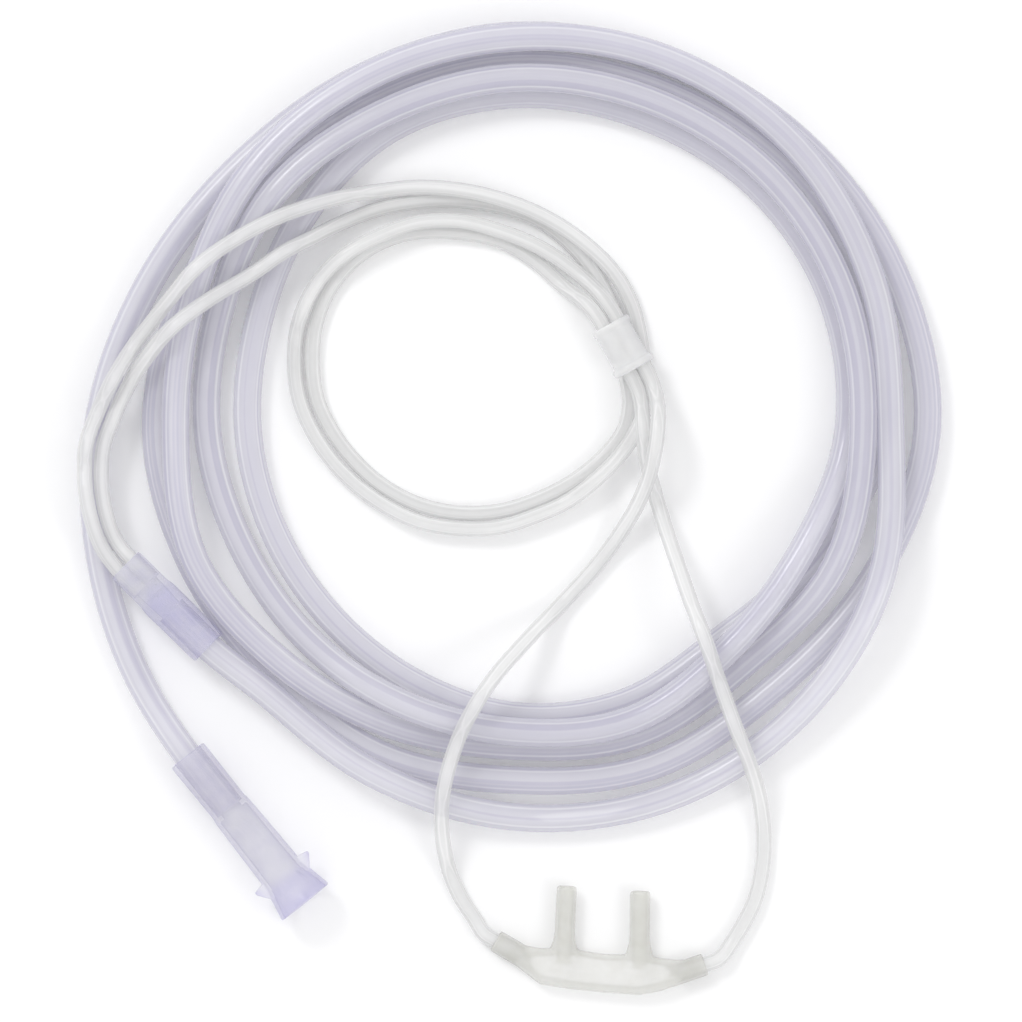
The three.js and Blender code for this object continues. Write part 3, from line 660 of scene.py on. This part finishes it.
def vinyl(name, facts):
    material = bpy.data.materials.new(name)
    material.use_nodes = True
    nodes, link = material.node_tree.nodes, material.node_tree.links.new
    shader = nodes["Principled BSDF"]
    shader.inputs["IOR"].default_value = 1.5
    shader.inputs["Alpha"].default_value = facts["opacity"]
    # painted light and shade by viewing angle: a painted light line where the bore's edge shows through, a
    # painted highlight along the outline, and a painted darker tint where the vinyl is seen edge on
    facing = nodes.new("ShaderNodeLayerWeight")
    facing.inputs["Blend"].default_value = 0.5
    wall = ramp(nodes, facts["wall"])
    link(facing.outputs["Facing"], wall.inputs[0])
    clouds = nodes.new("ShaderNodeGroup")
    clouds.node_tree = haze
    clouds.inputs["Cloud size"].default_value = facts["cloudSize"]
    cloudTone = ramp(nodes, [(0.3, facts["cloudDark"]), (0.7, (1, 1, 1))])
    link(clouds.outputs["Cloud"], cloudTone.inputs[0])
    color = mixed(material, "MULTIPLY", 1.0, wall.outputs[0], cloudTone.outputs[0])
    # painted shade streaks along the tube, from its UV map
    if "streakCount" in facts:
        uv = nodes.new("ShaderNodeUVMap")
        uv.uv_map = "UVMap"
        lines = nodes.new("ShaderNodeGroup")
        lines.node_tree = streaks
        lines.inputs["Count"].default_value = facts["streakCount"]
        link(uv.outputs[0], lines.inputs["Map"])
        tone = ramp(nodes, [(0.38, facts["streakDark"]), (0.5, (1, 1, 1))])
        link(lines.outputs["Mask"], tone.inputs[0])
        color = mixed(material, "MULTIPLY", 1.0, color, tone.outputs[0])
    if "along" in facts:
        # the colour also changes from one end of the fitting to the other
        place = nodes.new("ShaderNodeTexCoord")
        onPiece = nodes.new("ShaderNodeMapping")
        onPiece.vector_type = "TEXTURE"
        onPiece.inputs["Location"].default_value = Vector(facts["along"]["start"]) * mm
        onPiece.inputs["Rotation"].default_value[2] = math.radians(facts["along"]["heading"] - 90)
        onPiece.inputs["Scale"].default_value = [facts["along"]["length"] * mm] * 3
        parts = nodes.new("ShaderNodeSeparateXYZ")
        endTone = ramp(nodes, facts["along"]["tones"])
        link(place.outputs["Object"], onPiece.inputs["Vector"])
        link(onPiece.outputs[0], parts.inputs[0])
        link(parts.outputs["Y"], endTone.inputs[0])
        color = mixed(material, "MULTIPLY", 1.0, color, endTone.outputs[0])
        if "rim" in facts["along"]:
            # lugs and lip, furthest from the fitting's own line, get the deepest tint, a painted violet shade
            # standing in for the dark edges the clear vinyl shows there
            across = nodes.new("ShaderNodeCombineXYZ")
            reach = nodes.new("ShaderNodeVectorMath")
            reach.operation = "LENGTH"
            rimTone = ramp(nodes, facts["along"]["rim"])
            link(parts.outputs["X"], across.inputs["X"])
            link(parts.outputs["Z"], across.inputs["Z"])
            link(across.outputs[0], reach.inputs[0])
            link(reach.outputs["Value"], rimTone.inputs[0])
            color = mixed(material, "MULTIPLY", 1.0, color, rimTone.outputs[0])
    if facts["bump"] > 0:
        bump = nodes.new("ShaderNodeBump")
        bump.inputs["Strength"].default_value = facts["bump"]
        bump.inputs["Distance"].default_value = 0.05 * mm
        link(clouds.outputs["Grain"], bump.inputs["Height"])
        link(bump.outputs[0], shader.inputs["Normal"])
    link(color, shader.inputs["Base Color"])
    rough = nodes.new("ShaderNodeMapRange")
    rough.inputs["To Min"].default_value = facts["roughness"] - 0.06
    rough.inputs["To Max"].default_value = facts["roughness"] + 0.08
    link(clouds.outputs["Cloud"], rough.inputs["Value"])
    link(rough.outputs[0], shader.inputs["Roughness"])
    return material


supplyVinyl = vinyl(
    "supplyVinyl",
    {
        "roughness": 0.16, "opacity": 0.5,
        # the lighter band at a quarter is a painted light line standing in for the bore's edge seen through
        # the tube's side, and the last stop is a painted highlight along the outline
        "wall": [
            (0.0, (0.78, 0.77, 0.84)), (0.16, (0.74, 0.73, 0.80)), (0.24, (0.92, 0.92, 0.95)),
            (0.32, (0.72, 0.71, 0.79)), (0.7, (0.76, 0.75, 0.82)), (0.92, (0.92, 0.92, 0.95)),
        ],
        "cloudSize": 90.0, "cloudDark": (0.97, 0.97, 0.98), "bump": 0.0,
        "streakCount": 11.0, "streakDark": (0.82, 0.81, 0.88),
    },
)
lariatVinyl = vinyl(
    "lariatVinyl",
    {
        "roughness": 0.2, "opacity": 0.55,
        # painted light line at the bore's edge and painted highlight along the outline, by viewing angle
        "wall": [
            (0.0, (0.88, 0.88, 0.88)), (0.14, (0.85, 0.85, 0.85)), (0.2, (0.98, 0.98, 0.98)),
            (0.28, (0.83, 0.83, 0.83)), (0.7, (0.84, 0.84, 0.84)), (0.92, (0.97, 0.97, 0.97)),
        ],
        "cloudSize": 160.0, "cloudDark": (0.98, 0.98, 0.98), "bump": 0.0,
        "streakCount": 7.0, "streakDark": (0.88, 0.88, 0.88),
    },
)
yVinyl = vinyl(
    "yVinyl",
    {
        "roughness": 0.12, "opacity": 0.3,
        # painted violet shade towards the outline, by viewing angle
        "wall": [(0.0, (0.80, 0.795, 0.86)), (0.5, (0.74, 0.73, 0.83)), (0.8, (0.42, 0.39, 0.68))],
        "cloudSize": 420.0, "cloudDark": (0.84, 0.83, 0.95), "bump": 0.05,
        "along": {
            "start": yFitting["start"], "heading": yFitting["heading"], "length": 23.4,
            "tones": [(0.3, (1, 1, 1)), (0.42, (0.88, 0.87, 1.0)), (1.0, (0.94, 0.93, 1.0))],
        },
    },
)
endVinyl = vinyl(
    "endVinyl",
    {
        "roughness": 0.12, "opacity": 0.3,
        # painted violet shade towards the outline, by viewing angle
        "wall": [(0.0, (0.80, 0.795, 0.85)), (0.45, (0.73, 0.72, 0.81)), (0.78, (0.36, 0.33, 0.62))],
        "cloudSize": 420.0, "cloudDark": (0.9, 0.89, 0.95), "bump": 0.05,
        "along": {
            "start": endFitting["start"], "heading": endFitting["heading"], "length": 37.7,
            "tones": [(0.34, (0.94, 0.93, 0.98)), (0.38, (1, 1, 1)), (0.8, (1, 1, 1)),
                      (0.86, (0.9, 0.89, 1.0))],
            # painted violet edge shade on lugs and lip
            "rim": [(0.142, (1, 1, 1)), (0.172, (0.62, 0.58, 0.88))],
        },
    },
)
sliderVinyl = vinyl(
    "sliderVinyl",
    {
        "roughness": 0.16, "opacity": 0.36,
        # painted shade towards the outline, by viewing angle
        "wall": [(0.0, (0.98, 0.98, 0.98)), (0.6, (0.95, 0.95, 0.96)), (0.9, (0.84, 0.84, 0.86))],
        "cloudSize": 400.0, "cloudDark": (0.95, 0.95, 0.96), "bump": 0.05,
    },
)
nasalVinyl = vinyl(
    "nasalVinyl",
    {
        "roughness": 0.14, "opacity": 0.4,
        # painted shade towards the outline, by viewing angle
        "wall": [(0.0, (0.80, 0.798, 0.772)), (0.5, (0.76, 0.758, 0.73)), (0.85, (0.60, 0.598, 0.57))],
        "cloudSize": 300.0, "cloudDark": (0.93, 0.93, 0.90), "bump": 0.12,
    },
)

for piece, material, slotName, node in (
    (supplyTube, supplyVinyl, "supply_tube", "supply_tube"),
    (leftLariat, lariatVinyl, "lariat_tube_left", "lariat_tube_left"),
    (rightLariat, lariatVinyl, "lariat_tube_right", "lariat_tube_right"),
    (endPiece, endVinyl, "end_connector", "end_connector"),
    (yPiece, yVinyl, "y_connector", "y_connector"),
    (sliderPiece, sliderVinyl, "slider", "slider"),
    (nasalPiece, nasalVinyl, "nasal_piece", "nasal_piece"),
):
    piece.data.materials.clear()
    piece.data.materials.append(material)
    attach(piece, "root")
    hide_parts(node)
print("finishes given")

# Surface, and soft light from the upper left
bpy.ops.object.select_all(action="DESELECT")
bpy.ops.mesh.primitive_plane_add(size=6, location=(0, 0, 0))
floor = bpy.context.object
floor.name = "surface"
paper = bpy.data.materials.new("paleSurface")
paper.use_nodes = True
paper.node_tree.nodes["Principled BSDF"].inputs["Base Color"].default_value = (0.93, 0.93, 0.935, 1)
paper.node_tree.nodes["Principled BSDF"].inputs["Roughness"].default_value = 0.8
floor.data.materials.append(paper)

lighting = {
    "key": {"location": (-0.55, 0.7, 0.95), "size": 0.3, "energy": 4.2},
    "fill": {"location": (0.7, -0.3, 0.9), "size": 0.4, "energy": 1.8},
    "sky": 0.86,
}
for name in ("key", "fill"):
    facts = lighting[name]
    bpy.ops.object.light_add(type="AREA", location=facts["location"])
    lamp = bpy.context.object
    lamp.name = name + "Light"
    lamp.data.size = facts["size"]
    lamp.data.energy = facts["energy"]
    aim = Vector((*viewing["lookAt"], 0)) * mm - Vector(facts["location"])
    lamp.rotation_euler = aim.to_track_quat("-Z", "Y").to_euler()
world = bpy.data.worlds.new("paleSky")
world.use_nodes = True
world.node_tree.nodes["Background"].inputs[0].default_value = (1, 1, 1, 1)
world.node_tree.nodes["Background"].inputs[1].default_value = lighting["sky"]
bpy.context.scene.world = world
print("surface and light set")
